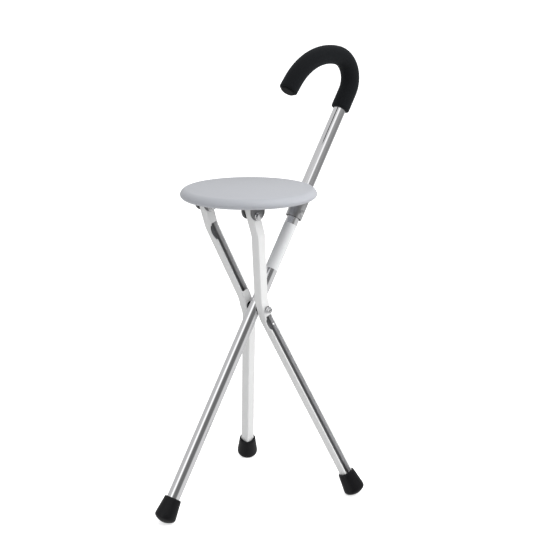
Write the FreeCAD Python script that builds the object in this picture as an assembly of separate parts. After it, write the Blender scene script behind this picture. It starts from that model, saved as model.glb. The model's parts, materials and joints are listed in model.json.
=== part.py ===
import FreeCAD, Part
import math
import os

# Walking stick with a folding seat, standing open on three rubber tips. Millimetres, Z up.
# X runs from the tube's foot to its handle and Y along the pivots. Everything is set out
# from the hub pivot at X = 0, and moved at the end so that the box's middle is at the origin.

# Stance
seat_height = 540.0
hub_height = 332.7
tube_lean = 33.2
running_gap = 0.3
pivot_fit = 0.05

# Main tube and its crook
tube_d = 22.0
tube_wall = 1.5
crook_start = 414.5
crook_radius = 42.9
crook_angle = 110.0
nose_radius = 110.5
nose_angle = 63.3
nose_straight = 18.4
foam_start = 380.0
foam_d = 32.6
plug_rim_d = 25.0
plug_rim_t = 3.0
plug_rim_round = 1.8
plug_stem = 14.0
core_length = 28.0

# Legs
leg_depth = 16.4
leg_width = 16.0
leg_wall = 1.3
leg_corner = 3.0
leg_inner_corner = 1.7
leg_bend = 30.0
low_bend_at = 16.5
low_splay = 19.4
top_bend_at = 18.4
top_straight = 36.0
pivot_inset = 58.2
pivot_drop = 33.0
window_lip = 2.0
window_corner = 0.5
top_window_from = 16.0
top_window_past = 2.9265
low_window_from = 2.0
low_window_margin = 10.0
scoop_length = 22.0
scoop_depth = 4.0
top_scoop_at = 8.0
low_scoop_at = 2.0
drip_hole_d = 3.5
drip_hole_at = 19.0

# Rubber tips
tip_length = 43.0
tip_top_r = 13.7
tip_bottom_r = 17.6
tip_shoulder_in = 0.5
tip_dome_r = 25.0
tip_dome_edge_r = 15.0
tip_floor = 7.0
tip_side_at = 10.0
tip_lip = 1.0
tip_leg_fit = 0.15
tip_washer_t = 1.5

# Hub and pivot hardware
bolt_d = 6.0
bush_d = 7.2
washer_d = 13.0
washer_t = 1.2
spacer_d = 16.0
spacer_t = 1.0
head_r = 6.0
head_t = 3.0
head_round = 1.8
hex_flats = 10.0
hex_t = 4.0
bolt_end = 1.0
cap_nut_t = 5.0
cap_dome_r = 4.6
cap_dome_t = 4.4

# Seat
seat_r = 114.5
seat_plate_t = 3.5
rim_depth = 17.2
rim_wide_at = 13.5
rim_round = 10.0
rim_draft = 0.5
rim_tuck = 3.0
rim_wall = 4.5
rim_inner_round = 6.0
pad_depth = 12.5
pad_margin = 1.5
rib_t = 2.0
rib_depth = 9.0
rib_count = 12
rib_ring_r = 62.0
rib_hub_r = 24.0

# Brackets under the seat
bracket_t = 2.5
ear_width = 30.0
ear_below = 7.0
ear_corner = 7.0
bracket_length = 46.0
pivot_ahead = 44.2196
screw_x = 18.0
screw_d = 4.0
screw_head_r = 3.6
screw_head_t = 2.2
screw_grip = 7.0
screw_y = 5.0

# Rear pivot and the sliding sleeve
rear_drop = 22.0
rear_off = 29.0
rear_inset = 13.8
rear_ear_r = 8.0
rear_base_front = 24.0
rear_base_back = 8.0
rear_screw_x = 16.0
pin_head_r = 4.5
pin_head_t = 2.0
lug_t = 2.5
lug_gap = 10.0
lug_r = 6.5
lug_heel = 7.5
lug_foot = 18.0
lug_web_angle = 36.9
lug_top_margin = 2.0
sleeve_d = 29.0
sleeve_wall = 1.5
sleeve_below_pivot = 33.5
sleeve_length = 50.0
liner_clearance = 0.7
rivet_below_pivot = 22.4
rivet_d = 4.0
rivet_head_r = 4.7
rivet_head_t = 2.2
rivet_round = 1.4
rivet_sink = 1.0

X = FreeCAD.Vector(1, 0, 0)
Y = FreeCAD.Vector(0, 1, 0)
Z = FreeCAD.Vector(0, 0, 1)
origin = FreeCAD.Vector(0, 0, 0)

tube_r = tube_d / 2
bore_r = tube_r - tube_wall
foam_r = foam_d / 2
lean_c = math.cos(math.radians(tube_lean))
lean_s = math.sin(math.radians(tube_lean))
hub_y = tube_r + spacer_t + running_gap + leg_depth / 2
pivot_y = seat_r - pivot_inset
pivot_z = seat_height - pivot_drop
base_z = seat_height - pad_depth - bracket_t
ear_gap = leg_depth + 2 * (spacer_t + running_gap)
rear_z = seat_height - rear_drop
rear_x = ((rear_z - hub_height) * lean_s - rear_off) / lean_c
rear_s = rear_x * lean_s + (rear_z - hub_height) * lean_c
seat_x = rear_x + rear_inset - seat_r
pivot_x = seat_x - pivot_ahead
leg_length = math.hypot(pivot_x, pivot_z - hub_height)
leg_lean = math.degrees(math.atan2(-pivot_x, pivot_z - hub_height))
leg_c = math.cos(math.radians(leg_lean))
sleeve_low = rear_s - sleeve_below_pivot
rivet_at = rear_s - rivet_below_pivot
rear_lug_half = lug_gap / 2 + lug_t
rear_ear_half = rear_lug_half + running_gap
bush_bore_r = bolt_d / 2 + pivot_fit
half_way = math.sqrt(0.5)


def vec(x, y, z):
    return FreeCAD.Vector(x, y, z)


def cyl(r, start, direction, length):
    return Part.makeCylinder(r, length, start, direction)


def ring(outer, inner, start, direction, length):
    return cyl(outer, start, direction, length).cut(cyl(inner, start, direction, length))


def across(r, x, z, y0, y1):
    """Round bar along Y between two values of y."""
    return cyl(r, vec(x, y0, z), Y, y1 - y0)


def box(x0, x1, y0, y1, z0, z1):
    return Part.makeBox(x1 - x0, y1 - y0, z1 - z0, vec(x0, y0, z0))


def hexagon(x, z, y0, y1):
    """Hexagonal prism along Y."""
    r = hex_flats / math.sqrt(3)
    corners = []
    for i in range(7):
        turn = math.radians(60 * i)
        corners.append(vec(x + r * math.cos(turn), y0, z + r * math.sin(turn)))
    return Part.Face(Part.makePolygon(corners)).extrude(vec(0, y1 - y0, 0))


def flat_plate(points, y0, y1):
    """Plate in the XZ plane, given by its corners, between two values of y."""
    corners = [vec(x, y0, z) for x, z in points]
    return Part.Face(Part.makePolygon(corners + corners[:1])).extrude(vec(0, y1 - y0, 0))


def revolved(edges):
    """Solid of revolution about Z from edges in the XZ plane."""
    return Part.Face(Part.Wire(edges)).revolve(origin, Z, 360)


def line(a, b):
    return Part.LineSegment(a, b).toShape()


def arc(a, b, c):
    return Part.Arc(a, b, c).toShape()


def half_turn_at(before, corner, after):
    """Half the angle by which a path turns at a corner."""
    return (math.pi - (before - corner).getAngle(after - corner)) / 2


def bent_path(points, radius):
    """Straight runs through the points, joined by tangent arcs."""
    edges = []
    start = points[0]
    for before, corner, after in zip(points, points[1:], points[2:]):
        back = (before - corner).normalize()
        on = (after - corner).normalize()
        half_turn = half_turn_at(before, corner, after)
        reach = radius * math.tan(half_turn)
        first = corner + back * reach
        last = corner + on * reach
        inward = (back + on).normalize()
        middle = corner + inward * (radius / math.cos(half_turn) - radius)
        edges.append(line(start, first))
        edges.append(arc(first, middle, last))
        start = last
    edges.append(line(start, points[-1]))
    return Part.Wire(edges)


def rounded_section(centre, side, up, width, height, r):
    """Rectangle with rounded corners, width along side and height along up."""
    def at(a, b):
        return centre + side * a + up * b
    w = width / 2
    h = height / 2
    k = r * (1 - half_way)
    edges = []
    for sa, sb, turn in ((1, 1, True), (-1, 1, False), (-1, -1, True), (1, -1, False)):
        along_b = at(sa * w, sb * (h - r))
        along_a = at(sa * (w - r), sb * h)
        middle = at(sa * (w - k), sb * (h - k))
        ends = (along_b, along_a) if turn else (along_a, along_b)
        if edges:
            edges.append(line(edges[-1].Vertexes[-1].Point, ends[0]))
        edges.append(arc(ends[0], middle, ends[1]))
    edges.append(line(edges[-1].Vertexes[-1].Point, edges[0].Vertexes[0].Point))
    return Part.Wire(edges)


def swept(path, section):
    return path.makePipeShell([section], True, False, 1)


def on_tube(shape):
    """From the stick's own frame, with Z along the tube from the hub, to its lean."""
    shape.rotate(origin, Y, tube_lean)
    shape.translate(vec(0, 0, hub_height))
    return shape


def on_leg(shape):
    """From the legs' own frame, with Z along the legs from the hub, to their lean."""
    shape.rotate(origin, Y, -leg_lean)
    shape.translate(vec(0, 0, hub_height))
    return shape


def tube_point(s, q):
    """Place on the leaning tube: s along it from the hub, q off it on the seat's side."""
    return (s * lean_s - q * lean_c, hub_height + s * lean_c + q * lean_s)


nodes = {}


def add(name, shape):
    nodes[name] = shape


# Rubber tip along its own Z, with the dome's lowest point at zero

def tip_body():
    edge_angle = math.asin(tip_dome_edge_r / tip_dome_r)
    dome_edge = vec(tip_dome_edge_r, 0, tip_dome_r * (1 - math.cos(edge_angle)))
    dome_middle = vec(tip_dome_r * math.sin(edge_angle / 2), 0,
                      tip_dome_r * (1 - math.cos(edge_angle / 2)))
    side_foot = vec(tip_bottom_r, 0, tip_side_at)
    shoulder = vec(tip_bottom_r - tip_shoulder_in, 0, (dome_edge.z + tip_side_at) / 2)
    side_top = vec(tip_top_r, 0, tip_length - tip_lip)
    lip = vec(tip_top_r - tip_lip, 0, tip_length)
    return revolved([
        arc(origin, dome_middle, dome_edge),
        arc(dome_edge, shoulder, side_foot),
        line(side_foot, side_top),
        line(side_top, lip),
        line(lip, vec(0, 0, tip_length)),
        line(vec(0, 0, tip_length), origin)])


tip_seat = tip_floor + tip_washer_t


# Main tube, its crook and what is in and on it

def crook_path(start):
    """Centreline of the stick in its own frame, from a place on the straight to the nose."""
    side = vec(-1, 0, 0)
    along = Z
    here = vec(0, 0, crook_start)
    edges = [line(vec(0, 0, start), here)]
    for radius, angle in ((crook_radius, crook_angle), (nose_radius, nose_angle)):
        turn = math.radians(angle)
        centre = here + side * radius
        middle = centre - side * (radius * math.cos(turn / 2)) + along * (radius * math.sin(turn / 2))
        end = centre - side * (radius * math.cos(turn)) + along * (radius * math.sin(turn))
        edges.append(arc(here, middle, end))
        along, side = (along * math.cos(turn) + side * math.sin(turn),
                       side * math.cos(turn) - along * math.sin(turn))
        here = end
    nose = here + along * nose_straight
    edges.append(line(here, nose))
    return Part.Wire(edges), nose, along


def bar_on_crook(start, r):
    path = crook_path(start)[0]
    section = Part.Wire([Part.Circle(vec(0, 0, start), Z, r).toShape()])
    return swept(path, section)


tube_dome_at = -(hub_height - tip_dome_r) / lean_c
tube_tip_low = tube_dome_at - tip_dome_r
tube_foot = tube_tip_low + tip_seat
nose, nose_way = crook_path(foam_start)[1:]

hub_hole = cyl(bush_bore_r, vec(0, -tube_d, 0), Y, 2 * tube_d)
tube_solid = bar_on_crook(tube_foot, tube_r).cut(bar_on_crook(tube_foot, bore_r))
add("main_tube", on_tube(tube_solid.cut(hub_hole)))
add("foam_grip", on_tube(bar_on_crook(foam_start, foam_r).cut(bar_on_crook(foam_start, tube_r))))

plug_rim = cyl(plug_rim_d / 2, origin, Z, plug_rim_t)
rim_edges = [e for e in plug_rim.Edges if e.BoundBox.ZMin > plug_rim_t / 2]
plug_rim = plug_rim.makeFillet(plug_rim_round, rim_edges)
plug =plug_rim.fuse(cyl(bore_r, vec(0, 0, -plug_stem), Z, plug_stem)).removeSplitter()
plug.Placement = FreeCAD.Placement(nose, FreeCAD.Rotation(Z, nose_way))
add("grip_plug", on_tube(plug))

tube_tip = tip_body().cut(cyl(tube_r, vec(0, 0, tip_floor), Z, tip_length))
tube_tip.translate(vec(0, 0, tube_tip_low))
add("tube_tip", on_tube(tube_tip))
add("tube_tip_washer", on_tube(cyl(tube_r, vec(0, 0, tube_tip_low + tip_floor), Z, tip_washer_t)))
add("hub_core", on_tube(cyl(bore_r, vec(0, 0, -core_length / 2), Z, core_length).cut(hub_hole)))

# Hub bolt, nut and washers

hub_outer = hub_y + leg_depth / 2 + running_gap
grip_end = hub_outer + washer_t
hub_bolt = across(bolt_d / 2, 0, hub_height, -grip_end - cap_nut_t, grip_end)
bolt_head = across(head_r, 0, hub_height, grip_end, grip_end + head_t)
head_edges = [e for e in bolt_head.Edges if e.BoundBox.YMin > grip_end + head_t / 2]
bolt_head = bolt_head.makeFillet(head_round, head_edges)
add("hub_bolt", hub_bolt.fuse(bolt_head).removeSplitter())

dome = Part.makeSphere(cap_dome_r, vec(0, -grip_end - cap_nut_t, hub_height))
dome = dome.common(across(cap_dome_r, 0, hub_height, -grip_end - cap_nut_t - cap_dome_t,
                          -grip_end - cap_nut_t))
hub_nut = hexagon(0, hub_height, -grip_end - cap_nut_t, -grip_end).fuse(dome)
add("hub_nut", hub_nut.cut(hub_bolt).removeSplitter())


def washer_pair(outer, y0, y1):
    """Two flat washers on the hub bolt, one on each side."""
    one = across(outer, 0, hub_height, y0, y1).cut(across(bolt_d / 2, 0, hub_height, y0, y1))
    return Part.makeCompound([one, one.mirror(origin, Y)])


add("hub_washers", washer_pair(washer_d / 2, hub_outer, grip_end))
add("hub_spacers", washer_pair(spacer_d / 2, tube_r, tube_r + spacer_t))

# Legs, made for the +Y side in their own frame and mirrored for the other

low_cos = math.cos(math.radians(low_splay))
low_sin = math.sin(math.radians(low_splay))
end_r = base_z - running_gap - pivot_z
leg_dome_t = -(hub_height - tip_dome_r) / leg_c
low_corner = vec(0, hub_y, -low_bend_at)
low_way = vec(0, low_sin, -low_cos)
dome_run = (-leg_dome_t - low_bend_at) / low_cos
leg_run = dome_run + tip_dome_r - tip_seat
leg_foot = low_corner + low_way * leg_run
top_corner = vec(0, hub_y, top_bend_at)
straight_corner = vec(0, pivot_y, leg_length - top_straight)
leg_end = vec(0, pivot_y, leg_length + end_r + leg_width)
leg_points = [leg_foot, low_corner, top_corner, straight_corner, leg_end]
section_up = vec(0, low_cos, low_sin)

window_width = leg_width - 2 * window_lip
window_cut = 5 * leg_wall


def leg_bar(width, depth, corner):
    path = bent_path(leg_points, leg_bend)
    return swept(path, rounded_section(leg_foot, X, section_up, width, depth, corner))


def window(points, end):
    """Long slot through one web, swept along the leg, with a round end at each end."""
    out = X.cross(points[1] - points[0]).normalize()
    middle = points[0] + out * (leg_depth / 2)
    section = rounded_section(middle, X, out, window_width, window_cut, window_corner)
    slot = swept(bent_path(points, leg_bend), section)
    for centre in (middle, end):
        slot = slot.fuse(cyl(window_width / 2, centre - out * (window_cut / 2), out, window_cut))
    return slot


def scoop(where, out):
    """Shallow arc cut in the edge of the flange that faces the seat's front."""
    r = (scoop_length ** 2 / 4 + scoop_depth ** 2) / (2 * scoop_depth)
    centre = where + out * (leg_depth / 2 + r - scoop_depth)
    return cyl(r, centre - X * leg_width, X, leg_width)


bar = leg_bar(leg_width, leg_depth, leg_corner).cut(
    leg_bar(leg_width - 2 * leg_wall, leg_depth - 2 * leg_wall, leg_inner_corner))

top_way = (straight_corner - top_corner).normalize()
top_start = top_corner + top_way * top_window_from
bend_reach = leg_bend * math.tan(half_turn_at(top_corner, straight_corner, leg_end))
top_stop = straight_corner + Z * (bend_reach + top_window_past)
top_window = window([top_start, straight_corner, top_stop], top_stop - Y * (leg_depth / 2))
low_start = low_corner + low_way * low_window_from
low_stop = leg_foot - low_way * low_window_margin
low_window = window([low_start, low_stop], low_stop + section_up * (leg_depth / 2))
leg_shape = bar.cut(top_window).cut(low_window)
leg_shape = leg_shape.cut(scoop(top_stop - Z * top_scoop_at, -Y))
leg_shape = leg_shape.cut(scoop(low_start + low_way * low_scoop_at, section_up))
leg_shape = leg_shape.cut(cyl(drip_hole_d / 2, vec(0, hub_y, -drip_hole_at), X, leg_width))
for t, y in ((0, hub_y), (leg_length, pivot_y)):
    leg_shape = leg_shape.cut(cyl(bush_d / 2, vec(0, y - leg_depth, t), Y, 2 * leg_depth))
leg_shape = on_leg(leg_shape)

# The leg's top is cut level with the seat and rounded on the side that leads when it folds
end_clear = end_r + 2 * leg_width
above = box(pivot_x - end_clear, pivot_x + end_clear, 0, 2 * pivot_y, pivot_z + end_r,
            pivot_z + end_r + end_clear)
lead = box(pivot_x - end_clear, pivot_x, 0, 2 * pivot_y, pivot_z, pivot_z + end_clear)
lead = lead.cut(across(end_r, pivot_x, pivot_z, 0, 2 * pivot_y))
leg_shape = leg_shape.cut(above).cut(lead)


def leg_bush(x, y, z):
    return across(bush_d / 2, x, z, y - leg_depth / 2, y + leg_depth / 2).cut(
        across(bush_bore_r, x, z, y - leg_depth / 2, y + leg_depth / 2))


leg_turn = FreeCAD.Placement(low_corner + low_way * (dome_run + tip_dome_r),
                             FreeCAD.Rotation(X, -low_way.cross(Y), -low_way, "ZXY"))
leg_reach = math.hypot(leg_width / 2 - leg_corner, leg_depth / 2 - leg_corner) + leg_corner
tip_bore_r = leg_reach + tip_leg_fit
leg_tip = tip_body().cut(cyl(tip_bore_r, vec(0, 0, tip_floor), Z, tip_length))
leg_tip.Placement = leg_turn
tip_disc = cyl(tip_bore_r, vec(0, 0, tip_floor), Z, tip_washer_t)
tip_disc.Placement = leg_turn
leg_sides = {"back": lambda shape: shape, "front": lambda shape: shape.mirror(origin, Y)}
leg_pieces = {
    "leg": leg_shape,
    "leg_tip": on_leg(leg_tip),
    "tip_washer": on_leg(tip_disc),
    "hub_bush": leg_bush(0, hub_y, hub_height),
    "top_bush": leg_bush(pivot_x, pivot_y, pivot_z)}
for side, turned in leg_sides.items():
    for name, shape in leg_pieces.items():
        add(name + "_" + side, turned(shape))

# Seat: a moulded disc with a rim, ribs and pads for the brackets

pad_z = seat_height - pad_depth
bracket_half = ear_gap / 2 + bracket_t
rear_half = rear_ear_half + bracket_t
screw_places = []
for side in (-1, 1):
    for end in (-1, 1):
        screw_places.append((pivot_x + end * screw_x, side * pivot_y))
    screw_places.append((rear_x - rear_screw_x, side * screw_y))


def seat_blank():
    """The seat's outer form without its hollow, with the top's middle at zero."""
    top_edge = vec(seat_r - rim_round, 0, 0)
    top_round = vec(seat_r - rim_round * (1 - half_way), 0, -rim_wide_at * (1 - half_way))
    widest = vec(seat_r, 0, -rim_wide_at)
    tuck_round = vec(seat_r - rim_tuck * (1 - half_way), 0,
                     -rim_wide_at - (rim_depth - rim_wide_at) * half_way)
    tuck = vec(seat_r - rim_tuck, 0, -rim_depth)
    under = vec(0, 0, -rim_depth)
    return revolved([
        line(origin, top_edge),
        arc(top_edge, top_round, widest),
        arc(widest, tuck_round, tuck),
        line(tuck, under),
        line(under, origin)])


def seat_hollow():
    """The space under the seat's plate and inside its rim."""
    inner_low = vec(seat_r - rim_wall, 0, -rim_depth)
    inner_side = vec(inner_low.x - rim_draft, 0, -seat_plate_t - rim_inner_round)
    inner_top = vec(inner_side.x - rim_inner_round, 0, -seat_plate_t)
    inner_mid = inner_side + vec(-1 + half_way, 0, half_way) * rim_inner_round
    under = vec(0, 0, -rim_depth)
    plate_under = vec(0, 0, -seat_plate_t)
    return revolved([
        line(plate_under, inner_top),
        arc(inner_top, inner_mid, inner_side),
        line(inner_side, inner_low),
        line(inner_low, under),
        line(under, plate_under)])


def seat_webs():
    """Ribs and bracket pads, which stand in the hollow and run into the plate and the rim."""
    rib_top = -seat_plate_t / 2
    webs = []
    for r in (rib_ring_r, rib_hub_r):
        webs.append(ring(r + rib_t / 2, r - rib_t / 2, vec(0, 0, -rib_depth), Z, rib_depth + rib_top))
    for i in range(rib_count):
        rib = box(rib_hub_r, seat_r - rim_wall, -rib_t / 2, rib_t / 2, -rib_depth, rib_top)
        rib.rotate(origin, Z, 360 * (i + 0.5) / rib_count)
        webs.append(rib)
    half = bracket_length / 2 + pad_margin
    wide = bracket_half + pad_margin
    for y in (-pivot_y, pivot_y):
        webs.append(box(pivot_x - seat_x - half, pivot_x - seat_x + half, y - wide, y + wide,
                        -pad_depth, rib_top))
    webs.append(box(rear_x - seat_x - rear_base_front - pad_margin, seat_r,
                    -rear_half - pad_margin, rear_half + pad_margin, -pad_depth, rib_top))
    return webs[0].multiFuse(webs[1:])


seat_plate = seat_blank()
seat_plate = seat_plate.cut(seat_hollow()).fuse(seat_webs().common(seat_plate))
seat_plate.translate(vec(seat_x, 0, seat_height))
for x, y in screw_places:
    seat_plate = seat_plate.cut(cyl(screw_d / 2, vec(x, y, pad_z), Z, screw_grip))
add("seat_plate", seat_plate.removeSplitter())


def screw_holes(plate):
    for x, y in screw_places:
        plate = plate.cut(cyl(screw_d / 2, vec(x, y, base_z), Z, bracket_t))
    return plate


def leg_bracket(y):
    """Base screwed to the seat, with two ears across the pivot."""
    bent = box(pivot_x - bracket_length / 2, pivot_x + bracket_length / 2, y - bracket_half,
               y + bracket_half, base_z, pad_z)
    low = pivot_z - ear_below
    for inner in (-bracket_half, bracket_half - bracket_t):
        ear = box(pivot_x - ear_width / 2, pivot_x + ear_width / 2, y + inner,
                  y + inner + bracket_t, low, pad_z)
        edges = [e for e in ear.Edges if e.BoundBox.ZMax < base_z and e.BoundBox.YLength > bracket_t / 2]
        bent = bent.fuse(ear.makeFillet(ear_corner, edges))
    bent = bent.cut(across(bolt_d / 2, pivot_x, pivot_z, y - bracket_half, y + bracket_half))
    return screw_holes(bent).removeSplitter()


def pivot_parts(y, way):
    """Bolt, nut and washers of one leg's top pivot; way is the side that the head is on."""
    y_head = y + way * bracket_half
    y_nut = y - way * bracket_half
    ends = sorted((y_head, y_nut - way * (hex_t + bolt_end)))
    shank = across(bolt_d / 2, pivot_x, pivot_z, ends[0], ends[1])
    head_ends = sorted((y_head, y_head + way * hex_t))
    head = hexagon(pivot_x, pivot_z, head_ends[0], head_ends[1])
    nut_ends = sorted((y_nut, y_nut - way * hex_t))
    nut = hexagon(pivot_x, pivot_z, nut_ends[0], nut_ends[1]).cut(shank)
    washers = []
    for y0 in (y - ear_gap / 2, y + ear_gap / 2 - spacer_t):
        washers.append(across(washer_d / 2, pivot_x, pivot_z, y0, y0 + spacer_t).cut(shank))
    return shank.fuse(head).removeSplitter(), nut, Part.makeCompound(washers)


for side, sign in (("front", -1), ("back", 1)):
    bolt, nut, washers = pivot_parts(sign * pivot_y, sign)
    add("bracket_" + side, leg_bracket(sign * pivot_y))
    add("pivot_bolt_" + side, bolt)
    add("pivot_nut_" + side, nut)
    add("pivot_washers_" + side, washers)

# Rear bracket with its pin, and all the bracket screws

rear_base = box(rear_x - rear_base_front, rear_x + rear_base_back, -rear_half, rear_half, base_z, pad_z)
rear_parts = []
for inner in (-rear_half, rear_ear_half):
    ear = box(rear_x - rear_ear_r, rear_x + rear_ear_r, inner, inner + bracket_t, rear_z, pad_z)
    rear_parts.append(ear)
    rear_parts.append(across(rear_ear_r, rear_x, rear_z, inner, inner + bracket_t))
rear_bracket = rear_base.multiFuse(rear_parts)
rear_bracket = rear_bracket.cut(across(bolt_d / 2, rear_x, rear_z, -rear_half, rear_half))
add("rear_bracket", screw_holes(rear_bracket).removeSplitter())

rear_pin = across(bolt_d / 2, rear_x, rear_z, -rear_half, rear_half)
for y0 in (-rear_half - pin_head_t, rear_half):
    rear_pin = rear_pin.fuse(across(pin_head_r, rear_x, rear_z, y0, y0 + pin_head_t))
add("rear_pin", rear_pin.removeSplitter())

screws = []
for x, y in screw_places:
    shank = cyl(screw_d / 2, vec(x, y, base_z), Z, bracket_t + screw_grip)
    head = cyl(screw_head_r, vec(x, y, base_z - screw_head_t), Z, screw_head_t)
    screws.append(shank.fuse(head).removeSplitter())
add("bracket_screws", Part.makeCompound(screws))

# Sliding sleeve with its lugs, liner and rivets

sleeve_r = sleeve_d / 2
sleeve_bore_r = sleeve_r - sleeve_wall
liner_bore_r = tube_r + liner_clearance
sleeve_top = sleeve_low + sleeve_length
sleeve_body = on_tube(cyl(sleeve_r, vec(0, 0, sleeve_low), Z, sleeve_length))
sleeve_bore = on_tube(cyl(sleeve_bore_r, vec(0, 0, sleeve_low), Z, sleeve_length))

stop_z = base_z - running_gap
under_rim = seat_height - rim_depth - running_gap
heel_x = rear_x + lug_heel
web_angle = math.radians(lug_web_angle)
root_low = tube_point(sleeve_low + lug_foot, sleeve_bore_r)
root_high = tube_point(sleeve_top - lug_top_margin, sleeve_bore_r)
lug_side = (rear_x - lug_r * math.cos(web_angle), rear_z - lug_r * math.sin(web_angle))
lug_outline = [root_low, lug_side, (rear_x, rear_z), (rear_x, stop_z), (heel_x, stop_z),
               (heel_x, under_rim), root_high]
lugs = []
for y0 in (-rear_lug_half, lug_gap / 2):
    lugs.append(flat_plate(lug_outline, y0, y0 + lug_t))
    lugs.append(across(lug_r, rear_x, rear_z, y0, y0 + lug_t))
slide_sleeve = sleeve_body.multiFuse(lugs).cut(sleeve_bore)
slide_sleeve = slide_sleeve.cut(across(bush_bore_r, rear_x, rear_z, -rear_half, rear_half))

rivet_x, rivet_z = tube_point(rivet_at, 0)
rivet_hole = across(rivet_d / 2, rivet_x, rivet_z, -sleeve_r, sleeve_r)
add("slide_sleeve", slide_sleeve.cut(rivet_hole).removeSplitter())
sleeve_liner = on_tube(ring(sleeve_bore_r, liner_bore_r, vec(0, 0, sleeve_low), Z, sleeve_length))
add("sleeve_liner", sleeve_liner.cut(rivet_hole))

rivet = across(rivet_d / 2, rivet_x, rivet_z, liner_bore_r + running_gap, sleeve_r)
rivet_head = across(rivet_head_r, rivet_x, rivet_z, sleeve_r - rivet_sink, sleeve_r + rivet_head_t)
rivet_edges = [e for e in rivet_head.Edges if e.BoundBox.YMin > sleeve_r]
rivet_head = rivet_head.makeFillet(rivet_round, rivet_edges).cut(sleeve_body)
rivet = rivet.fuse(rivet_head).removeSplitter()
add("liner_rivets", Part.makeCompound([rivet, rivet.mirror(origin, Y)]))

# Folding: the sleeve stays on the tube while hub, leg top and rear pivot close the linkage

span_x = rear_x - pivot_x
span_z = rear_z - pivot_z
seat_arm = math.hypot(span_x, span_z)
arm_off = -span_x * lean_c + span_z * lean_s
seat_fold = 90 - tube_lean
arm_now = math.degrees(math.asin(-arm_off / seat_arm))
leg_folded = math.degrees(math.asin(
    (rear_off + seat_arm * math.sin(math.radians(arm_now - seat_fold))) / leg_length))
leg_fold = tube_lean + leg_lean - leg_folded
seat_ratio = seat_fold / leg_fold

os.makedirs("parts", exist_ok=True)
whole = Part.makeCompound(list(nodes.values())).optimalBoundingBox(True, False)
shift = -(whole.XMin + whole.XMax) / 2
for name, shape in nodes.items():
    shape.translate(vec(shift, 0, 0))
    shape.exportStep("parts/" + name + ".step")

print("pieces", len(nodes), "solids", sum(len(s.Solids) for s in nodes.values()))
print("not valid", [n for n, s in nodes.items() if not s.isValid()])
print("size", round(whole.XLength, 2), round(whole.YLength, 2), round(whole.ZMin, 3), round(whole.ZMax, 2))
print("hub", round(shift, 3), hub_height, "seat middle", round(seat_x + shift, 3))
print("leg top pivot", round(pivot_x + shift, 3), pivot_z, "rear pivot", round(rear_x + shift, 3), rear_z)
print("legs fold", round(leg_fold, 3), "seat ratio", round(seat_ratio, 5))
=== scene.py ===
import bpy
import bmesh
import json
import math
from mathutils import Matrix, Vector


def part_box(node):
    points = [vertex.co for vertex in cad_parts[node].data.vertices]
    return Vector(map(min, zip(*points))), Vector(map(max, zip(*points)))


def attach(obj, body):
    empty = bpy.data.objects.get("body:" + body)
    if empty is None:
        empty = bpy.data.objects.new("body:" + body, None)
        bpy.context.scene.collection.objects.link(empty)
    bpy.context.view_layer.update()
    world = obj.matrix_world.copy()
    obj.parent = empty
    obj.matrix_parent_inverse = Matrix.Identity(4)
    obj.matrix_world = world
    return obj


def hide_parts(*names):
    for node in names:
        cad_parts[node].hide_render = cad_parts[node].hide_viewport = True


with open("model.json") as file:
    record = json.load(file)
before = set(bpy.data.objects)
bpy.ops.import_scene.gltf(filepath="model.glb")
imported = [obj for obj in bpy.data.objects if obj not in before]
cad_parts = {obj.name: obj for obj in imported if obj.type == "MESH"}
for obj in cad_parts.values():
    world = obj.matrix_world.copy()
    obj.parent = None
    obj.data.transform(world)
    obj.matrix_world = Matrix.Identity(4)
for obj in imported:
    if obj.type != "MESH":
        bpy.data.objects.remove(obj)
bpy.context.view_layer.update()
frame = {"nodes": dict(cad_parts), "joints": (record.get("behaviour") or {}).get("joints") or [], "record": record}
nodes = frame["nodes"]
jointPlace = {joint["name"]: Vector(joint["pos_m"]) for joint in frame["joints"]}

# Places that the whole stick is set out from, in metres
stick = {
    "lean": math.radians(33.2),  # tube from upright
    "hub": jointPlace["fold"],
    "radius": 0.011,
    "crookStart": 0.4145,  # along the tube from the hub
    "crookRadius": 0.0429,
    "crookAngle": math.radians(110),
    "noseRadius": 0.1105,
    "noseAngle": math.radians(63.3),
    "noseStraight": 0.0184,
    "segments": 96,
}
sweep = {"lead": 6, "turn": 36, "nose": 3}  # steps along the crook
near = 1e-6  # points closer than this are one
toTube = Matrix.Translation(stick["hub"]) @ Matrix.Rotation(stick["lean"], 4, "Y")


def tubeStart():
    back = toTube.inverted()
    return min((back @ v.co).z for v in nodes["main_tube"].data.vertices)


# Mesh helpers

def finishMesh(bm, name, place=None, smoothAngle=40):
    bmesh.ops.remove_doubles(bm, verts=bm.verts, dist=near)
    bmesh.ops.recalc_face_normals(bm, faces=bm.faces)
    if place is not None:
        bm.transform(place)
    mesh = bpy.data.meshes.new(name)
    bm.to_mesh(mesh)
    bm.free()
    for face in mesh.polygons:
        face.use_smooth = True
    mesh.set_sharp_from_angle(angle=math.radians(smoothAngle))
    piece = bpy.data.objects.new(name, mesh)
    bpy.context.scene.collection.objects.link(piece)
    return piece


def arcPoints(centre, radius, start, end, count):
    found = []
    for i in range(count + 1):
        angle = math.radians(start + (end - start) * i / count)
        found.append((centre[0] + radius * math.cos(angle), centre[1] + radius * math.sin(angle)))
    return found


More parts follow.
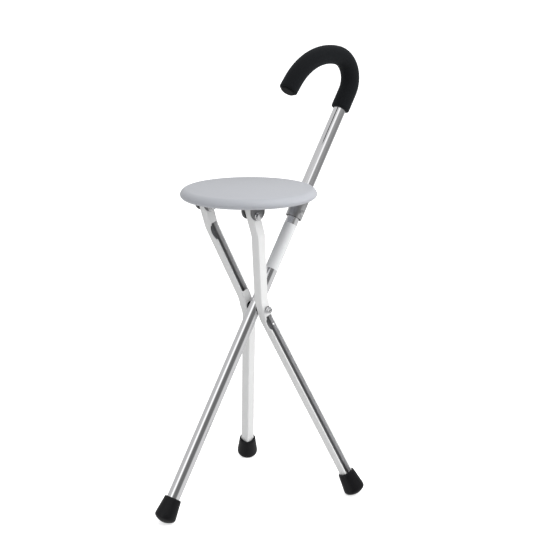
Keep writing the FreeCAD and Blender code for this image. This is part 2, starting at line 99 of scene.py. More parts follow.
def sweepCrook(bm, rings, start):
    bend, radius = stick["crookAngle"], stick["crookRadius"]

    def pushOn(edges, way, steps):
        for _ in range(steps):
            made = bmesh.ops.extrude_edge_only(bm, edges=edges)["geom"]
            bmesh.ops.translate(bm, verts=[g for g in made if isinstance(g, bmesh.types.BMVert)],
                                vec=way / steps)
            edges = [g for g in made if isinstance(g, bmesh.types.BMEdge)]
        return edges

    def turnOn(edges, centre, angle):
        made = bmesh.ops.spin(bm, geom=edges, axis=(0, -1, 0), cent=centre, angle=angle,
                              steps=sweep["turn"])
        return [g for g in made["geom_last"] if isinstance(g, bmesh.types.BMEdge)]

    edges = pushOn(rings, Vector((0, 0, stick["crookStart"] - start)), sweep["lead"])
    centre = Vector((-radius, 0, stick["crookStart"]))
    edges = turnOn(edges, centre, bend)
    end = centre + Matrix.Rotation(-bend, 3, "Y") @ Vector((radius, 0, 0))
    inward = (centre - end).normalized()
    centre = end + inward * stick["noseRadius"]
    edges = turnOn(edges, centre, stick["noseAngle"])
    way = Matrix.Rotation(-bend - stick["noseAngle"], 3, "Y") @ Vector((0, 0, 1))
    end = centre + Matrix.Rotation(-stick["noseAngle"], 3, "Y") @ (end - centre)
    straight = way * stick["noseStraight"]
    return pushOn(edges, straight, sweep["nose"]), end + straight


def eachOnce(items):  # in their own order, so that every run gives the same mesh
    return list(dict.fromkeys(items))


def ringAt(bm, radius, height, segments):
    made = bmesh.ops.create_circle(bm, segments=segments, radius=radius, cap_ends=False)
    bmesh.ops.translate(bm, verts=made["verts"], vec=(0, 0, height))
    return eachOnce(edge for vert in made["verts"] for edge in vert.link_edges)


print("frame and helpers ready")

# Materials

def newMaterial(name):
    material = bpy.data.materials.new(name)
    material.use_nodes = True
    tree = material.node_tree
    shader = tree.nodes["Principled BSDF"]
    return material, tree, shader


def colour(value):
    return (*value, 1.0)


grain = {"detail": 4.0, "middle": 0.5}


def grainGroup():
    group = bpy.data.node_groups.new("surfaceGrain", "ShaderNodeTree")
    for name in ("Scale", "Bump", "Distance", "Roughness", "Spread"):
        group.interface.new_socket(name=name, in_out="INPUT", socket_type="NodeSocketFloat")
    for name, kind in (("Roughness", "Float"), ("Normal", "Vector"), ("Mask", "Float")):
        group.interface.new_socket(name=name, in_out="OUTPUT", socket_type="NodeSocket" + kind)
    nodesIn = group.nodes.new("NodeGroupInput")
    nodesOut = group.nodes.new("NodeGroupOutput")
    place = group.nodes.new("ShaderNodeTexCoord")
    noise = group.nodes.new("ShaderNodeTexNoise")
    noise.inputs["Detail"].default_value = grain["detail"]
    bump = group.nodes.new("ShaderNodeBump")
    spread = group.nodes.new("ShaderNodeMath")
    spread.operation = "SUBTRACT"
    spread.inputs[1].default_value = grain["middle"]
    times = group.nodes.new("ShaderNodeMath")
    times.operation = "MULTIPLY_ADD"
    link = group.links.new
    link(place.outputs["Object"], noise.inputs["Vector"])
    link(nodesIn.outputs["Scale"], noise.inputs["Scale"])
    link(noise.outputs["Fac"], bump.inputs["Height"])
    link(nodesIn.outputs["Bump"], bump.inputs["Strength"])
    link(nodesIn.outputs["Distance"], bump.inputs["Distance"])
    link(noise.outputs["Fac"], spread.inputs[0])
    link(spread.outputs[0], times.inputs[0])
    link(nodesIn.outputs["Spread"], times.inputs[1])
    link(nodesIn.outputs["Roughness"], times.inputs[2])
    link(times.outputs[0], nodesOut.inputs["Roughness"])
    link(bump.outputs["Normal"], nodesOut.inputs["Normal"])
    link(noise.outputs["Fac"], nodesOut.inputs["Mask"])
    return group


surfaceGrain = grainGroup()


def grainyMaterial(name, dark, light, metallic, roughness, scale, bump, distance, spread):
    material, tree, shader = newMaterial(name)
    shader.inputs["Metallic"].default_value = metallic
    group = tree.nodes.new("ShaderNodeGroup")
    group.node_tree = surfaceGrain
    for socket, value in (("Scale", scale), ("Bump", bump), ("Distance", distance),
                          ("Spread", spread), ("Roughness", roughness)):
        group.inputs[socket].default_value = value
    tree.links.new(group.outputs["Roughness"], shader.inputs["Roughness"])
    tree.links.new(group.outputs["Normal"], shader.inputs["Normal"])
    mix = tree.nodes.new("ShaderNodeMix")
    mix.data_type = "RGBA"
    mix.inputs["A"].default_value = colour(dark)
    mix.inputs["B"].default_value = colour(light)
    tree.links.new(group.outputs["Mask"], mix.inputs["Factor"])
    tree.links.new(mix.outputs["Result"], shader.inputs["Base Color"])
    return material


def tuneShader(material, **values):
    shader = material.node_tree.nodes["Principled BSDF"]
    for name, value in values.items():
        shader.inputs[name.replace("_", " ")].default_value = value


# Dark and light colour, metallic, roughness, then the grain's scale, bump, depth and spread
polishedTube = grainyMaterial("polishedTube", (0.80, 0.80, 0.82), (0.86, 0.86, 0.87), 1.0, 0.09,
                              900, 0.04, 0.00001, 0.04)
paintedLeg = grainyMaterial("paintedLeg", (0.655, 0.655, 0.65), (0.69, 0.69, 0.685), 0.0, 0.36,
                            500, 0.10, 0.00004, 0.10)
legInside = grainyMaterial("legInside", (0.66, 0.66, 0.67), (0.74, 0.74, 0.745), 0.0, 0.4,
                           300, 0.12, 0.00005, 0.12)
darkSteel = grainyMaterial("darkSteel", (0.16, 0.16, 0.165), (0.25, 0.25, 0.255), 1.0, 0.36,
                           260, 0.15, 0.00005, 0.15)
sleeveSteel = grainyMaterial("sleeveSteel", (0.50, 0.50, 0.51), (0.62, 0.62, 0.63), 1.0, 0.30,
                             260, 0.15, 0.00005, 0.12)
brightSteel = grainyMaterial("brightSteel", (0.66, 0.66, 0.67), (0.78, 0.78, 0.79), 1.0, 0.2,
                             500, 0.1, 0.00003, 0.1)
blackRubber = grainyMaterial("blackRubber", (0.004, 0.004, 0.005), (0.008, 0.008, 0.009), 0.0, 0.42,
                             700, 0.3, 0.0001, 0.12)
foamBlack = grainyMaterial("foamBlack", (0.003, 0.0033, 0.004), (0.008, 0.009, 0.0105), 0.0, 0.78,
                           1500, 0.6, 0.0003, 0.1)
seatPlastic = grainyMaterial("seatPlastic", (0.375, 0.385, 0.412), (0.395, 0.405, 0.432), 0.0, 0.34,
                             1200, 0.25, 0.00008, 0.08)
blackNylon = grainyMaterial("blackNylon", (0.004, 0.004, 0.005), (0.008, 0.008, 0.009), 0.0, 0.6,
                            500, 0.15, 0.0001, 0.1)
labelFilm = grainyMaterial("labelFilm", (0.64, 0.645, 0.65), (0.67, 0.675, 0.68), 0.0, 0.28,
                           200, 0.05, 0.00002, 0.04)


# Painted shade for the legs' inner walls: a darker tone is mixed into their colour towards the web across from the
# window
deep = {"name": "deepness", "from": 0.52, "to": 0.85, "tone": (0.20, 0.20, 0.205)}


def paintShadeByDepth(material):  # painted shade: darker, the deeper the wall lies in the leg, standing in for the shade inside the channel
    tree = material.node_tree
    shader = tree.nodes["Principled BSDF"]
    depth = tree.nodes.new("ShaderNodeAttribute")
    depth.attribute_name = deep["name"]
    share = tree.nodes.new("ShaderNodeMapRange")
    share.interpolation_type = "SMOOTHSTEP"
    share.inputs["From Min"].default_value = deep["from"]
    share.inputs["From Max"].default_value = deep["to"]
    mix = tree.nodes.new("ShaderNodeMix")
    mix.data_type = "RGBA"
    mix.inputs["B"].default_value = colour(deep["tone"])
    tree.links.new(depth.outputs["Fac"], share.inputs["Value"])
    tree.links.new(share.outputs["Result"], mix.inputs["Factor"])
    tree.links.new(shader.inputs["Base Color"].links[0].from_socket, mix.inputs["A"])
    tree.links.new(mix.outputs["Result"], shader.inputs["Base Color"])


paintShadeByDepth(legInside)
tuneShader(foamBlack, Sheen_Weight=0.05, Sheen_Roughness=0.45, Sheen_Tint=(0.8, 0.9, 1.0, 1),
           Specular_IOR_Level=0.15)
tuneShader(blackRubber, Specular_IOR_Level=0.2)
tuneShader(blackNylon, Specular_IOR_Level=0.15)
tuneShader(seatPlastic, Specular_IOR_Level=0.35)
print("materials ready")


def dress(piece, material):
    piece.data.materials.clear()
    piece.data.materials.append(material)
    return piece


# CAD pieces that keep their shape: welded, with their sharp edges eased

ease = {"width": 0.0003, "segments": 2, "bevelAngle": math.radians(35), "split": math.radians(32)}


def easePiece(piece, width=ease["width"]):
    for face in piece.data.polygons:
        face.use_smooth = True
    weld = piece.modifiers.new("weld", "WELD")
    weld.merge_threshold = near
    bevel = piece.modifiers.new("bevel", "BEVEL")
    bevel.width = width
    bevel.segments = ease["segments"]
    bevel.limit_method = "ANGLE"
    bevel.angle_limit = ease["bevelAngle"]
    bevel.harden_normals = True
    split = piece.modifiers.new("split", "EDGE_SPLIT")
    split.split_angle = ease["split"]


finishes = {
    "polished_tube": polishedTube, "foam": foamBlack, "black_plastic": blackNylon,
    "rubber": blackRubber, "steel": brightSteel, "bright_steel": brightSteel,
    "dark_steel": darkSteel, "nylon": blackNylon, "leg_aluminium": paintedLeg,
    "seat_plastic": seatPlastic,
}
slots = {part["node"]: part["material_slot"] for part in frame["record"]["subparts"]}
for node, slotName in slots.items():
    dress(nodes[node], finishes[slotName])
    easePiece(nodes[node])
dress(nodes["slide_sleeve"], sleeveSteel)

# Main tube

tube = {"wall": 0.0015, "start": tubeStart()}


def makeTube():
    bm = bmesh.new()
    start = tube["start"]
    rings = ringAt(bm, stick["radius"], start, stick["segments"])
    rings += ringAt(bm, stick["radius"] - tube["wall"], start, stick["segments"])
    bmesh.ops.bridge_loops(bm, edges=rings)
    last = sweepCrook(bm, rings, start)[0]
    bmesh.ops.bridge_loops(bm, edges=last)
    piece = finishMesh(bm, "stickTube", toTube)
    dress(piece, polishedTube)
    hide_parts("main_tube")
    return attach(piece, "stick")


makeTube()

# Foam grip: a soft sleeve with rolled ends

foam = {
    "radius": 0.0163, "start": 0.380, "segments": 64, "slack": 0.0001,
    "lip": 0.0024, "lipSteps": 5, "lipAngle": 1.2, "fill": 0.9,
}


def makeFoam():
    bm = bmesh.new()
    bore = stick["radius"] + foam["slack"]
    rings = ringAt(bm, foam["radius"], foam["start"], foam["segments"])
    last, nose = sweepCrook(bm, rings, foam["start"])
    inner = ringAt(bm, bore, foam["start"], foam["segments"])
    bmesh.ops.bridge_loops(bm, edges=rings + inner)
    made = bmesh.ops.extrude_edge_only(bm, edges=last)["geom"]
    for vert in [g for g in made if isinstance(g, bmesh.types.BMVert)]:
        out = vert.co - nose
        vert.co = nose + out * (bore / out.length)
    bmesh.ops.recalc_face_normals(bm, faces=bm.faces)
    rims = [e for e in bm.edges
            if len(e.link_faces) == 2 and e.calc_face_angle() > foam["lipAngle"]]
    bmesh.ops.bevel(bm, geom=rims, offset=foam["lip"], segments=foam["lipSteps"], profile=0.5,
                    affect="EDGES", material=-1)
    piece = finishMesh(bm, "foamSleeve", toTube, 60)
    dress(piece, foamBlack)
    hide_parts("foam_grip")
    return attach(piece, "stick")


makeFoam()
print("tube and foam made")

# Label wrap on the tube, left bare

label = {"start": 0.0705, "end": 0.156, "lift": 0.00012, "thick": 0.0001}


def makeLabel():
    bm = bmesh.new()
    inner = stick["radius"] + label["lift"]
    outer = inner + label["thick"]
    loops = [ringAt(bm, radius, label[height], stick["segments"]) for radius, height in (
        (outer, "start"), (outer, "end"), (inner, "end"), (inner, "start"))]
    for first, second in zip(loops, loops[1:] + loops[:1]):
        bmesh.ops.bridge_loops(bm, edges=first + second)
    piece = finishMesh(bm, "labelWrap", toTube)
    dress(piece, labelFilm)
    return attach(piece, "stick")


makeLabel()

# Legs: one bent, windowed bar, and the same bar turned half round for the other side

leg = {
    "lean": math.radians(18.5), "splay": math.radians(19.4), "length": 0.1838,
    "wide": 0.0174, "deep": 0.0164, "wall": 0.0013, "lip": 0.0027,
    "corner": 0.0018, "cornerSteps": 5, "bend": 0.030, "bendSteps": 8, "sharp": 30,
    "hubY": 0.0205, "pivotY": 0.0563,
    "lowBend": 0.0165, "topBend": 0.0184, "topStraight": 0.036,
    "footRun": 0.342, "topRun": 0.035, "endRound": 0.0177, "endAngles": (90, 112.5, 135, 157.5),
    "windowFromFoot": 0.010, "windowPastBend": 0.005, "windowPastTop": 0.003,
    "scoopLong": 0.022, "scoopDeep": 0.004, "scoopSteps": 64, "cutShare": 0.4,
    "topScoop": 0.1418, "lowScoop": 0.0125,
    "dripHole": 0.0021, "dripAt": 0.0175, "dripSteps": 24, "boltHole": 0.0036, "boltSteps": 32,
}
toLeg = Matrix.Translation(stick["hub"]) @ Matrix.Rotation(-leg["lean"], 4, "Y")


def legPath():  # bend points from the foot up, in the leg's own frame about the hub
    splay = leg["splay"]
    low = Vector((0, leg["hubY"], -leg["lowBend"]))
    foot = low + Vector((0, math.sin(splay), -math.cos(splay))) * leg["footRun"]
    top = Vector((0, leg["hubY"], leg["topBend"]))
    straight = Vector((0, leg["pivotY"], leg["length"] - leg["topStraight"]))
    end = Vector((0, leg["pivotY"], leg["length"] + leg["topRun"]))
    return [foot, low, top, straight, end]


def legStations():  # places along the bar: point, direction, and whether the web up to it is open
    points = legPath()
    stations = [(points[0], (points[1] - points[0]).normalized(), False)]

    def runTo(place, way, windowed):
        stations.append((place, way, windowed))

    for i in range(1, 4):
        before = (points[i] - points[i - 1]).normalized()
        after = (points[i + 1] - points[i]).normalized()
        turn = before.angle(after)
        reach = leg["bend"] * math.tan(turn / 2)
        windowed = i != 2
        if i == 1:
            runTo(points[0] + before * leg["windowFromFoot"], before, False)
        if i == 3:
            start = points[2] + before * (stations[-1][0] - points[2]).length
            runTo(start + before * leg["windowPastBend"], before, False)
        place = points[i] - before * reach
        runTo(place, before, windowed)
        axis = before.cross(after)
        for k in range(leg["bendSteps"]):
            share = turn * (k + 0.5) / leg["bendSteps"]
            chord = 2 * leg["bend"] * math.sin(turn / leg["bendSteps"] / 2)
            place = place + Matrix.Rotation(share, 3, axis) @ before * chord
            way = Matrix.Rotation(turn * (k + 1) / leg["bendSteps"], 3, axis) @ before
            runTo(place, way, windowed)
        if i == 3:
            runTo(place + after * leg["windowPastTop"], after, True)
    runTo(points[4], (points[4] - points[3]).normalized(), False)
    return stations


def legSection():
    x, y, r = leg["wide"] / 2, leg["deep"] / 2, leg["corner"]
    edge = x - leg["lip"]

    def corner(sideX, sideY, start):
        centre = (sideX * (x - r), sideY * (y - r))
        return arcPoints(centre, r, start, start - 90, leg["cornerSteps"])

    return [(-edge, y), (edge, y), *corner(1, 1, 90), *corner(1, -1, 0),
            (edge, -y), (-edge, -y), *corner(-1, -1, -90), *corner(-1, 1, 180)]


def legShell(bm):
    section = legSection()
    stations = legStations()
    lowLast = max(i for i, s in enumerate(stations) if s[2] and s[0].z < 0)
    rings = []
    for place, way, _ in stations:
        out = Vector((0, way.z, -way.y))
        rings.append([bm.verts.new(place + Vector((x, 0, 0)) + out * y) for x, y in section])
    for i, (low, high) in enumerate(zip(rings, rings[1:])):
        openWeb = 0 if i < lowLast else len(section) // 2
        for k in range(len(section)):
            if stations[i + 1][2] and k == openWeb:
                continue
            n = (k + 1) % len(section)
            bm.faces.new((low[k], low[n], high[n], high[k]))


def roundTop(bm, pivot):
    for angle in leg["endAngles"]:
        normal = Vector((math.cos(math.radians(angle)), 0, math.sin(math.radians(angle))))
        bmesh.ops.bisect_plane(bm, geom=bm.verts[:] + bm.edges[:] + bm.faces[:], dist=near,
                               plane_co=pivot + normal * leg["endRound"], plane_no=normal,
                               clear_outer=True)


def cutter(radius, centre, halfLong, place, steps):
    bm = bmesh.new()
    bmesh.ops.create_cone(bm, cap_ends=True, segments=steps, radius1=radius, radius2=radius,
                          depth=2 * halfLong, matrix=place @ Matrix.Translation(centre)
                          @ Matrix.Rotation(math.pi / 2, 4, "Y"))
    return finishMesh(bm, "cutter")


def legTools(place, lowSide, topSide):  # scoops in the windows' edges, drip hole, bolt holes
    points = legPath()
    lowWay = (points[0] - points[1]).normalized()
    lowOut = Vector((0, -lowWay.z, lowWay.y))
    edge = Vector((leg["wide"] / 2, 0, 0))
    along = leg["wide"] * leg["cutShare"]
    radius = (leg["scoopLong"] ** 2 / 4 + leg["scoopDeep"] ** 2) / (2 * leg["scoopDeep"])
    off = leg["deep"] / 2 + radius - leg["scoopDeep"]
    lowScoop = points[1] + lowWay * leg["lowScoop"] + lowOut * off
    topScoop = Vector((0, leg["pivotY"] - off, leg["topScoop"]))
    drip = points[1] + lowWay * leg["dripAt"]
    tools = [
        cutter(radius, lowScoop + edge * lowSide, along, place, leg["scoopSteps"]),
        cutter(radius, topScoop + edge * topSide, along, place, leg["scoopSteps"]),
        cutter(leg["dripHole"], drip + edge, along, place, leg["dripSteps"]),
    ]
    for spot in (Vector((0, leg["hubY"], 0)), Vector((0, leg["pivotY"], leg["length"]))):
        across = place @ Matrix.Translation(spot) @ Matrix.Rotation(math.pi / 2, 4, "Z")
        tools.append(cutter(leg["boltHole"], Vector(), leg["deep"], across, leg["boltSteps"]))
    return tools


def markDepth(mesh, toOwn):  # 0 at the open web of each run, 1 at the web across from it; the painted shade inside the legs follows it
    line = legPath()
    deepness = mesh.attributes.new(deep["name"], "FLOAT", "POINT")
    for vert, value in zip(mesh.vertices, deepness.data):
        place = toOwn @ vert.co
        best = None
        for start, end in zip(line, line[1:]):
            along = end - start
            share = max(0.0, min(1.0, (place - start).dot(along) / along.length_squared))
            away = place - (start + along * share)
            if best is None or away.length < best[0]:
                way = along.normalized()
                best = (away.length, away.y * way.z - away.z * way.y)
        side = best[1] if place.z > 0 else -best[1]
        value.value = 0.5 + side / leg["deep"]


def makeLeg(node, name, body, side, lowSide, topSide):
    place = toLeg @ Matrix.Diagonal((1, side, 1, 1))
    bm = bmesh.new()
    legShell(bm)
    bm.transform(place)
    roundTop(bm, toLeg @ Vector((0, side * leg["pivotY"], leg["length"])))
    piece = finishMesh(bm, name, smoothAngle=leg["sharp"])
    piece.data.materials.append(paintedLeg)
    piece.data.materials.append(legInside)
    solid = piece.modifiers.new("wall", "SOLIDIFY")
    solid.thickness = leg["wall"]
    solid.offset = -1
    solid.use_even_offset = True
    solid.material_offset = 1
    tools = legTools(place, lowSide, topSide)
    for tool in tools:
        cut = piece.modifiers.new("cut", "BOOLEAN")
        cut.operation = "DIFFERENCE"
        cut.solver = "EXACT"
        cut.object = tool
    bpy.context.view_layer.update()
    ready = bpy.data.meshes.new_from_object(
        piece.evaluated_get(bpy.context.evaluated_depsgraph_get()))
    piece.modifiers.clear()
    piece.data = ready
    for tool in tools:
        bpy.data.objects.remove(tool)
    ready.set_sharp_from_angle(angle=math.radians(leg["sharp"]))
    markDepth(ready, place.inverted())
    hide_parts(node)
    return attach(piece, body)


makeLeg("leg_front", "legFront", "front_leg", -1, -1, 1)
makeLeg("leg_back", "legBack", "back_leg", 1, 1, -1)
print("legs made")

# Copies of CAD pieces, each changed a little

def copyNode(node, name):
    piece = bpy.data.objects.new(name, nodes[node].data.copy())
    bpy.context.scene.collection.objects.link(piece)
    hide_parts(node)
    return piece


def finishCopy(piece, node, body, width=ease["width"]):
    dress(piece, finishes[slots[node]])
    easePiece(piece, width)
    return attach(piece, body)


# Seat: the moulding's lower rim is drawn in under its widest line

seat = {
    "top": 0.540, "from": 0.009, "depth": 0.0172,  # the rim starts and ends this far below the top
    "inner": 0.100, "drawn": 0.0055, "ease": 0.0005,
}


def makeSeat():
    piece = copyNode("seat_plate", "seatMoulding")
    low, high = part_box("seat_plate")
    middle = Vector(((low[0] + high[0]) / 2, 0, 0))
    for vert in piece.data.vertices:
        flat = Vector((vert.co.x, vert.co.y, 0)) - middle
        share = (seat["top"] - vert.co.z - seat["from"]) / (seat["depth"] - seat["from"])
        if flat.length > seat["inner"] and share > 0:
            flat *= 1 - seat["drawn"] * min(1, share) ** 2 / flat.length
            vert.co.x = middle.x + flat.x
            vert.co.y = flat.y
    return finishCopy(piece, "seat_plate", "seat", seat["ease"])


makeSeat()

# Leg-top brackets with half-round ears, and flanges under the heads and nuts of their bolts

top = {
    "slack": 0.0002, "steps": 12, "near": 1e-7,  # round ears, and what counts as on a cut's plane
    "flange": 0.0074, "flangeEdge": 0.0064, "flangeThick": 0.0016, "flangeSteps": 48,
}


def makeBracket(node, name, pivot):
    piece = copyNode(node, name)
    bm = bmesh.new()
    bm.from_mesh(piece.data)
    bmesh.ops.remove_doubles(bm, verts=bm.verts, dist=near)
    below = [v.co for v in bm.verts if v.co.z < pivot.z]
    radius = max(abs(co.x - pivot.x) for co in below) + top["slack"]
    centre = Vector((pivot.x, 0, min(co.z for co in below) + radius))
    bmesh.ops.bisect_plane(bm, geom=bm.verts[:] + bm.edges[:] + bm.faces[:], dist=top["near"],
                           plane_co=centre, plane_no=(0, 0, 1))
    for step in range(1, top["steps"]):
        angle = math.pi * (1 + step / top["steps"])
        normal = Vector((math.cos(angle), 0, math.sin(angle)))
        faces = [f for f in bm.faces if all(v.co.z < centre.z + near for v in f.verts)]
        edges = eachOnce(edge for face in faces for edge in face.edges)
        verts = eachOnce(vert for face in faces for vert in face.verts)
        bmesh.ops.bisect_plane(bm, geom=faces + edges + verts, dist=top["near"],
                               plane_co=centre + normal * radius, plane_no=normal, clear_outer=True)
        bmesh.ops.holes_fill(bm, edges=[e for e in bm.edges if e.is_boundary], sides=0)
    bmesh.ops.recalc_face_normals(bm, faces=bm.faces)
    bm.to_mesh(piece.data)
    bm.free()
    return finishCopy(piece, node, "seat")


def makeFlange(node, name, place, way):
    piece = copyNode(node, name)
    bm = bmesh.new()
    bm.from_mesh(piece.data)
    bmesh.ops.create_cone(
        bm, cap_ends=True, segments=top["flangeSteps"], radius1=top["flange"],
        radius2=top["flangeEdge"], depth=top["flangeThick"],
        matrix=Matrix.Translation(place + Vector((0, way * top["flangeThick"] / 2, 0)))
        @ Matrix.Rotation(-way * math.pi / 2, 4, "X"))
    bm.to_mesh(piece.data)
    bm.free()
    return finishCopy(piece, node, "seat")


def makePivot(end):
    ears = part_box("bracket_" + end)
    low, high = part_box("pivot_nut_" + end)
    pivot = Vector([(low[i] + high[i]) / 2 for i in range(3)])
    middle = (ears[0][1] + ears[1][1]) / 2
    way = 1 if pivot.y > middle else -1
    reach = abs((low if way > 0 else high)[1] - middle)
    makeBracket("bracket_" + end, "bracket" + end.title(), pivot)
    for node, name, side in (("pivot_nut_", "pivotNut", way), ("pivot_bolt_", "pivotBolt", -way)):
        place = Vector((pivot.x, middle + side * reach, pivot.z))
        makeFlange(node + end, name + end.title(), place, side)


makePivot("front")
makePivot("back")

# Rubber tips: fuller at the sides than the plain ones

tips = {
    "tube_tip": ("rubberTube", "stick"), "leg_tip_front": ("rubberFront", "front_leg"),
    "leg_tip_back": ("rubberBack", "back_leg"),
}
tipShape = {
    "reach": 0.025,  # the foot's round end, along the tip's axis
    "share": 0.055, "outer": 0.0125, "from": 0.005, "to": 0.013, "ease": 0.0008,
}


def makeTip(node, foot, way):
    name, body = tips[node]
    piece = copyNode(node, name)
    for vert in piece.data.vertices:
        height = (vert.co - foot).dot(way)
        aside = vert.co - foot - way * height
        if aside.length > tipShape["outer"]:
            grow = (height - tipShape["from"]) / (tipShape["to"] - tipShape["from"])
            vert.co += aside * (tipShape["share"] * max(0, min(1, grow)))
    return finishCopy(piece, node, body, tipShape["ease"])


def makeTips():
    reach = tipShape["reach"]
    axis = (toTube.to_3x3() @ Vector((0, 0, 1))).normalized()
    down = (stick["hub"].z - reach) / axis.z + reach
    makeTip("tube_tip", stick["hub"] - axis * down, axis)
    for node, side in (("leg_tip_front", -1), ("leg_tip_back", 1)):
        foot, low = [toLeg @ Vector((0, side * p.y, p.z)) for p in legPath()[:2]]
        way = (low - foot).normalized()
        makeTip(node, foot + way * ((reach - foot.z) / way.z) - way * reach, way)


makeTips()
print("seat and tips made")

# Floor, light and camera

studio = {
    "key": ((0.2, -1.5, 2.5), 1.6, 29.0),  # place, size and power
    "fill": ((1.7, -1.7, 1.1), 1.4, 26.0),
    "aim": (0, 0, 0.4),
    "skyLevel": 1.15, "groundLevel": 0.36, "skyFrom": -0.2, "skyTo": 0.9,
    "lowTint": (0.90, 0.945, 1.03),
    "mirrorLevel": 1.25, "stripsFrom": 0.215, "stripsTo": 0.235,
    "floorSize": 20, "floorTone": 0.8, "floorRough": 0.9, "floorGlow": 0.62,
    "cameraPlace": (-1.7214, -1.7659, 0.9827), "pitch": math.radians(13.414),
    "yaw": math.radians(45.349), "roll": math.radians(-0.144),
    "fieldOfView": math.radians(20.505), "sensor": 36,
}
white = (1.0, 1.0, 1.0)
lowStrips = (  # what polished metal mirrors, by the turn round the tube from the camera's side
    (0.00, 0.46), (0.300, 0.47), (0.335, 0.52), (0.360, 1.0), (0.418, 1.0), (0.446, 0.20),
    (0.520, 0.13), (0.625, 0.16), (0.665, 0.58), (0.80, 0.60), (1.00, 0.46),
)
highStrips = (  # the same, for directions nearer to the tube's own
    (0.00, 0.50), (0.300, 0.50), (0.440, 0.52), (0.480, 0.95), (0.520, 0.95), (0.556, 0.30),
    (0.640, 0.27), (0.760, 0.20), (0.840, 0.24), (0.880, 0.50), (1.00, 0.50),
)


def cameraAxes():
    pitch, yaw = studio["pitch"], studio["yaw"]
    way = Vector((math.cos(yaw) * math.cos(pitch), math.sin(yaw) * math.cos(pitch),
                  -math.sin(pitch)))
    right = way.cross(Vector((0, 0, 1))).normalized()
    up = right.cross(way)
    turn = Matrix.Rotation(studio["roll"], 3, way * -1)
    return turn @ right, turn @ up, way


def areaLight(name):
    place, size, power = studio[name]
    data = bpy.data.lights.new(name, "AREA")
    data.shape = "DISK"
    data.size = size
    data.energy = power
    lamp = bpy.data.objects.new(name, data)
    lamp.location = place
    facing = Vector(studio["aim"]) - Vector(place)
    lamp.rotation_euler = facing.to_track_quat("-Z", "Y").to_euler()
    lamp.visible_glossy = False
    bpy.context.scene.collection.objects.link(lamp)


def makeFloor():
    bm = bmesh.new()
    bmesh.ops.create_grid(bm, x_segments=1, y_segments=1, size=studio["floorSize"])
    floor = finishMesh(bm, "floor")
    material, tree, shader = newMaterial("paleFloor")
    shader.inputs["Base Color"].default_value = colour([studio["floorTone"]] * 3)
    shader.inputs["Roughness"].default_value = studio["floorRough"]
    glow = tree.nodes.new("ShaderNodeEmission")
    glow.inputs["Strength"].default_value = studio["floorGlow"]
    both = tree.nodes.new("ShaderNodeAddShader")
    rays = tree.nodes.new("ShaderNodeLightPath")
    pick = tree.nodes.new("ShaderNodeMixShader")
    tree.links.new(rays.outputs["Is Camera Ray"], pick.inputs[0])
    tree.links.new(shader.outputs[0], both.inputs[0])
    tree.links.new(glow.outputs[0], both.inputs[1])
    tree.links.new(shader.outputs[0], pick.inputs[1])
    tree.links.new(both.outputs[0], pick.inputs[2])
    tree.links.new(pick.outputs[0], tree.nodes["Material Output"].inputs["Surface"])
    floor.visible_glossy = False
    dress(floor, material)


def dotNode(tree, source, vector):
    dot = tree.nodes.new("ShaderNodeVectorMath")
    dot.operation = "DOT_PRODUCT"
    dot.inputs[1].default_value = vector
    tree.links.new(source, dot.inputs[0])
    return dot.outputs["Value"]


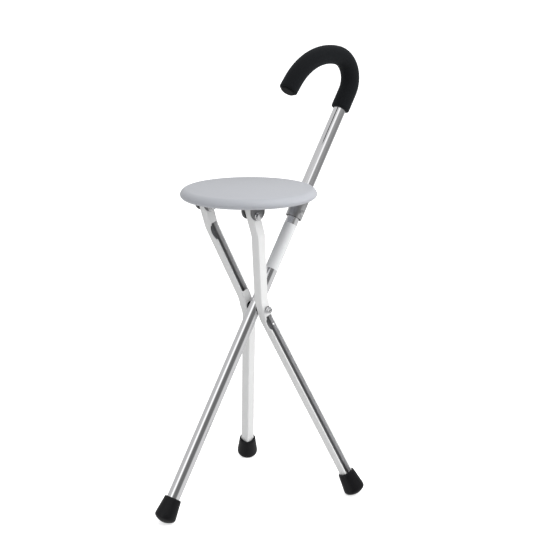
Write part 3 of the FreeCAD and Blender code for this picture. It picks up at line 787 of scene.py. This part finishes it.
def makeWorld():
    world = bpy.data.worlds.new("studio")
    world.use_nodes = True
    tree = world.node_tree
    link = tree.links.new
    direction = tree.nodes.new("ShaderNodeTexCoord").outputs["Generated"]
    rays = tree.nodes.new("ShaderNodeLightPath")

    soft = tree.nodes["Background"]
    height = tree.nodes.new("ShaderNodeMapRange")
    height.inputs["From Min"].default_value = studio["skyFrom"]
    height.inputs["From Max"].default_value = studio["skyTo"]
    height.inputs["To Min"].default_value = studio["groundLevel"]
    height.inputs["To Max"].default_value = studio["skyLevel"]
    link(dotNode(tree, direction, (0, 0, 1)), height.inputs["Value"])
    tint = tree.nodes.new("ShaderNodeMix")
    tint.data_type = "RGBA"
    tint.inputs["A"].default_value = colour(studio["lowTint"])
    tint.inputs["B"].default_value = colour(white)
    link(height.outputs[0], tint.inputs["Factor"])
    link(tint.outputs["Result"], soft.inputs["Color"])
    link(height.outputs[0], soft.inputs["Strength"])

    axis = Vector((math.sin(stick["lean"]), 0, math.cos(stick["lean"])))
    toCamera = cameraAxes()[2] * -1
    forward = (toCamera - axis * toCamera.dot(axis)).normalized()
    aside = forward.cross(axis).normalized()
    if aside.dot(cameraAxes()[0]) < 0:
        aside = aside * -1
    turn = tree.nodes.new("ShaderNodeMath")
    turn.operation = "ARCTAN2"
    link(dotNode(tree, direction, aside), turn.inputs[0])
    link(dotNode(tree, direction, forward), turn.inputs[1])
    share = tree.nodes.new("ShaderNodeMapRange")
    share.inputs["From Min"].default_value = -math.pi
    share.inputs["From Max"].default_value = math.pi
    link(turn.outputs[0], share.inputs["Value"])
    blend = tree.nodes.new("ShaderNodeMix")
    blend.data_type = "RGBA"
    for strips, socket in ((lowStrips, "A"), (highStrips, "B")):
        ramp = tree.nodes.new("ShaderNodeValToRGB")
        ramp.color_ramp.elements[0].position = strips[0][0]
        ramp.color_ramp.elements[1].position = strips[-1][0]
        for place, level in strips[1:-1]:
            ramp.color_ramp.elements.new(place)
        for element, (place, level) in zip(ramp.color_ramp.elements, strips):
            element.color = colour([level] * 3)
        link(share.outputs[0], ramp.inputs["Fac"])
        link(ramp.outputs["Color"], blend.inputs[socket])
    climb = tree.nodes.new("ShaderNodeMapRange")
    climb.inputs["From Min"].default_value = studio["stripsFrom"]
    climb.inputs["From Max"].default_value = studio["stripsTo"]
    link(dotNode(tree, direction, axis), climb.inputs["Value"])
    link(climb.outputs[0], blend.inputs["Factor"])
    mirrored = tree.nodes.new("ShaderNodeBackground")
    link(blend.outputs["Result"], mirrored.inputs["Color"])
    mirrored.inputs["Strength"].default_value = studio["mirrorLevel"]

    seen = tree.nodes.new("ShaderNodeBackground")
    seen.inputs["Color"].default_value = colour(white)
    glossy = tree.nodes.new("ShaderNodeMixShader")
    camera = tree.nodes.new("ShaderNodeMixShader")
    link(rays.outputs["Is Glossy Ray"], glossy.inputs[0])
    link(soft.outputs[0], glossy.inputs[1])
    link(mirrored.outputs[0], glossy.inputs[2])
    link(rays.outputs["Is Camera Ray"], camera.inputs[0])
    link(glossy.outputs[0], camera.inputs[1])
    link(seen.outputs[0], camera.inputs[2])
    link(camera.outputs[0], tree.nodes["World Output"].inputs["Surface"])
    bpy.context.scene.world = world


def makeCamera():
    data = bpy.data.cameras.new("camera")
    data.sensor_width = studio["sensor"]
    data.lens = studio["sensor"] / 2 / math.tan(studio["fieldOfView"] / 2)
    camera = bpy.data.objects.new("camera", data)
    right, up, way = cameraAxes()
    facing = Matrix((right, up, way * -1)).transposed()
    camera.location = studio["cameraPlace"]
    camera.rotation_euler = facing.to_euler()
    bpy.context.scene.collection.objects.link(camera)
    bpy.context.scene.camera = camera


makeFloor()
makeWorld()
makeCamera()
areaLight("key")
areaLight("fill")
bpy.context.scene.view_settings.view_transform = "Standard"
print("studio ready")
